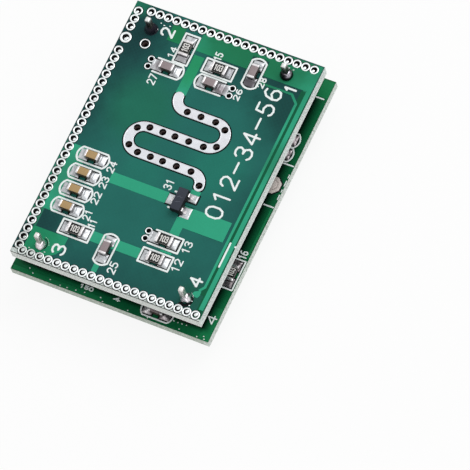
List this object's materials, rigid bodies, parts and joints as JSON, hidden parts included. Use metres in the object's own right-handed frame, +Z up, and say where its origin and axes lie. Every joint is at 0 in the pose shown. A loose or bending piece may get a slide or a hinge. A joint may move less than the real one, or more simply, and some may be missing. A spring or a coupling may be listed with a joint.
{
  "type": "microwave radar sensor module",
  "caption": "Small radar motion sensor: stacked green circuit boards with a tinned S-shaped antenna strip, chip parts, square corner pins and a side-entry socket.",
  "frame": {"origin": "under the middle of the boards, on the surface that the pin tips stand on", "axes": "+Z up through both boards, +Y along the boards towards the socket's mouth, +X across them"},
  "size_m": [0.0252, 0.035, 0.0116],
  "materials": {
    "antenna_laminate": "glossy green solder mask",
    "control_laminate": "glossy green solder mask",
    "tinned_copper": "bright tin",
    "solder": "glossy solder",
    "tinned_pin": "tin plated",
    "collar_plastic": "moulded, matte",
    "resistor_ceramic": "black glaze with metal ends",
    "capacitor_tan": "tan ceramic with metal ends",
    "capacitor_brown": "brown-grey ceramic with metal ends",
    "package_epoxy": "moulded, fine grain",
    "socket_nylon": "moulded, satin"
  },
  "bodies": {
    "root": {"antenna_board": "antenna_laminate", "antenna_pads": "tinned_copper", "antenna_strip": "tinned_copper", "capacitor_1": "capacitor_tan", "capacitor_2": "capacitor_tan", "capacitor_3": "capacitor_tan", "capacitor_4": "capacitor_tan", "capacitor_5": "capacitor_brown", "capacitor_6": "capacitor_brown", "capacitor_7": "capacitor_brown", "capacitor_8": "capacitor_brown", "contact_solder_cones": "solder", "control_board": "control_laminate", "control_capacitor_1": "capacitor_brown", "control_capacitor_2": "capacitor_brown", "control_capacitor_3": "capacitor_brown", "control_capacitor_4": "capacitor_brown", "control_capacitor_5": "capacitor_brown", "control_pads": "tinned_copper", "control_resistor_1": "resistor_ceramic", "control_resistor_2": "resistor_ceramic", "control_resistor_3": "resistor_ceramic", "controller_chip": "package_epoxy", "controller_leads": "tinned_copper", "corner_pin_1": "tinned_pin", "corner_pin_2": "tinned_pin", "corner_pin_3": "tinned_pin", "corner_pin_4": "tinned_pin", "edge_hole_rings": "tinned_copper", "free_hole_ring": "tinned_copper", "lower_solder_cones": "solder", "output_transistor": "package_epoxy", "output_transistor_leads": "tinned_copper", "pin_collar_1": "collar_plastic", "pin_collar_2": "collar_plastic", "pin_collar_3": "collar_plastic", "pin_collar_4": "collar_plastic", "post_hole_ring": "tinned_copper", "regulator": "package_epoxy", "regulator_leads": "tinned_copper", "resistor_1": "resistor_ceramic", "resistor_2": "resistor_ceramic", "resistor_3": "resistor_ceramic", "resistor_4": "resistor_ceramic", "resistor_5": "resistor_ceramic", "rf_transistor": "package_epoxy", "rf_transistor_leads": "tinned_copper", "side_hole_rings": "tinned_copper", "socket_contacts": "tinned_pin", "socket_housing": "socket_nylon", "upper_solder_cones": "solder"}
  },
  "joints": []
}
